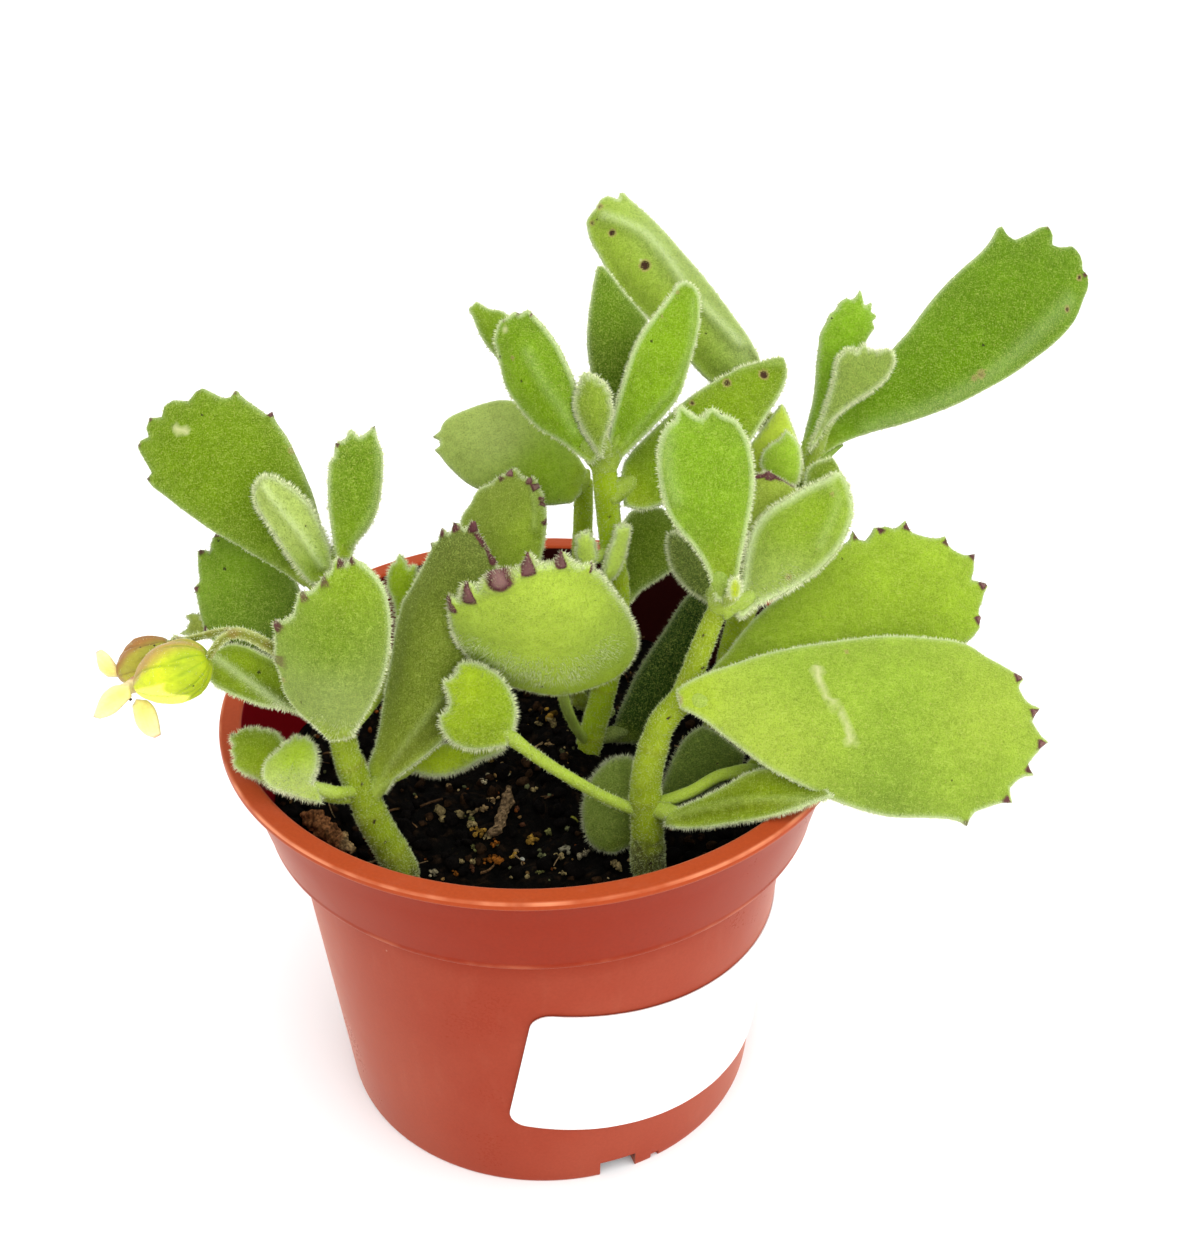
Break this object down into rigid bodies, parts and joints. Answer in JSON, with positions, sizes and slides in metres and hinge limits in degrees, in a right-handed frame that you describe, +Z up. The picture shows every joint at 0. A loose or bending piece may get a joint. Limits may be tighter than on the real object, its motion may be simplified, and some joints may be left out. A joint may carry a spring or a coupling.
{
  "type": "potted succulent",
  "caption": "Bear's paw succulent: downy, toothed, paddle-shaped leaves on upright stems, growing in soil in a tapered terracotta-coloured plastic nursery pot with a blank label.",
  "frame": {"origin": "centre of the pot's underside, on the surface it stands on", "axes": "+Z up along the axis of the pot, -Y towards the front where the picture was taken from, +X to the right of the front"},
  "size_m": [0.1606, 0.104, 0.1475],
  "materials": {
    "pot_plastic": "satin moulded polypropylene, terracotta coloured",
    "potting_mix": "damp peat and bark mix with tan grit",
    "label_paper": "satin adhesive paper label, blank",
    "stem": "downy green stem",
    "leaf": "felted fleshy leaf",
    "leaf_shaded": "felted fleshy leaf, darker",
    "leaf_pale": "felted fleshy leaf, grey green",
    "flower_stalk": "downy stalk",
    "flower_bud": "downy ribbed bud",
    "petal": "soft matt petal",
    "bark": "rough bark"
  },
  "bodies": {
    "root": {"pot": "pot_plastic", "soil": "potting_mix", "label_blank": "label_paper", "stem_left": "stem", "stem_centre": "stem", "stem_right": "stem", "stem_back_right": "stem", "stem_back_centre": "stem", "leaf_upper_left_large": "leaf", "leaf_upper_left_small_folded": "leaf", "leaf_upper_left_small_upright": "leaf", "leaf_left_dark": "leaf_shaded", "leaf_left_front": "leaf", "leaf_left_low_trough": "leaf", "leaf_left_hidden_tip": "leaf_shaded", "leaf_low_left_a": "leaf", "leaf_low_left_b": "leaf", "leaf_centre_left_large": "leaf", "leaf_centre_left_back_folded": "leaf", "leaf_left_behind_small": "leaf", "leaf_centre_front_round": "leaf", "leaf_low_centre_round": "leaf", "leaf_low_centre_under": "leaf_shaded", "leaf_stem2_bud_left": "leaf", "leaf_stem2_bud_right": "leaf", "leaf_top_centre_left": "leaf", "leaf_top_centre_left_behind": "leaf", "bud_top_centre": "leaf", "leaf_top_centre_right": "leaf", "leaf_top_back": "leaf", "leaf_top_right_broad": "leaf", "leaf_mid_right_olive": "leaf", "leaf_shadow_large": "leaf_shaded", "leaf_right_furry_behind": "leaf_shaded", "leaf_right_front_tall": "leaf", "leaf_right_upper": "leaf", "bud_right_tiny": "leaf", "leaf_right_purple_edged": "leaf", "leaf_right_small_folded": "leaf", "leaf_right_small_behind": "leaf", "leaf_right_back_fragment": "leaf_shaded", "leaf_back_right_large": "leaf", "leaf_back_right_upright": "leaf", "leaf_back_right_furry": "leaf_pale", "leaf_back_long": "leaf_pale", "leaf_back_left_pale": "leaf_pale", "leaf_right_large_back": "leaf", "leaf_right_large_front": "leaf", "leaf_low_right_trough": "leaf", "leaf_low_right_under": "leaf_shaded", "leaf_low_shadow_left": "leaf_shaded", "leaf_low_shadow_right": "leaf_shaded", "flower_stalk": "flower_stalk", "flower_bud_front": "flower_bud", "flower_bud_back": "flower_bud", "bark_chip": "bark", "twig_bit": "bark", "petal_upper": "petal", "petal_lower_left": "petal", "petal_lower_right": "petal"}
  },
  "joints": []
}
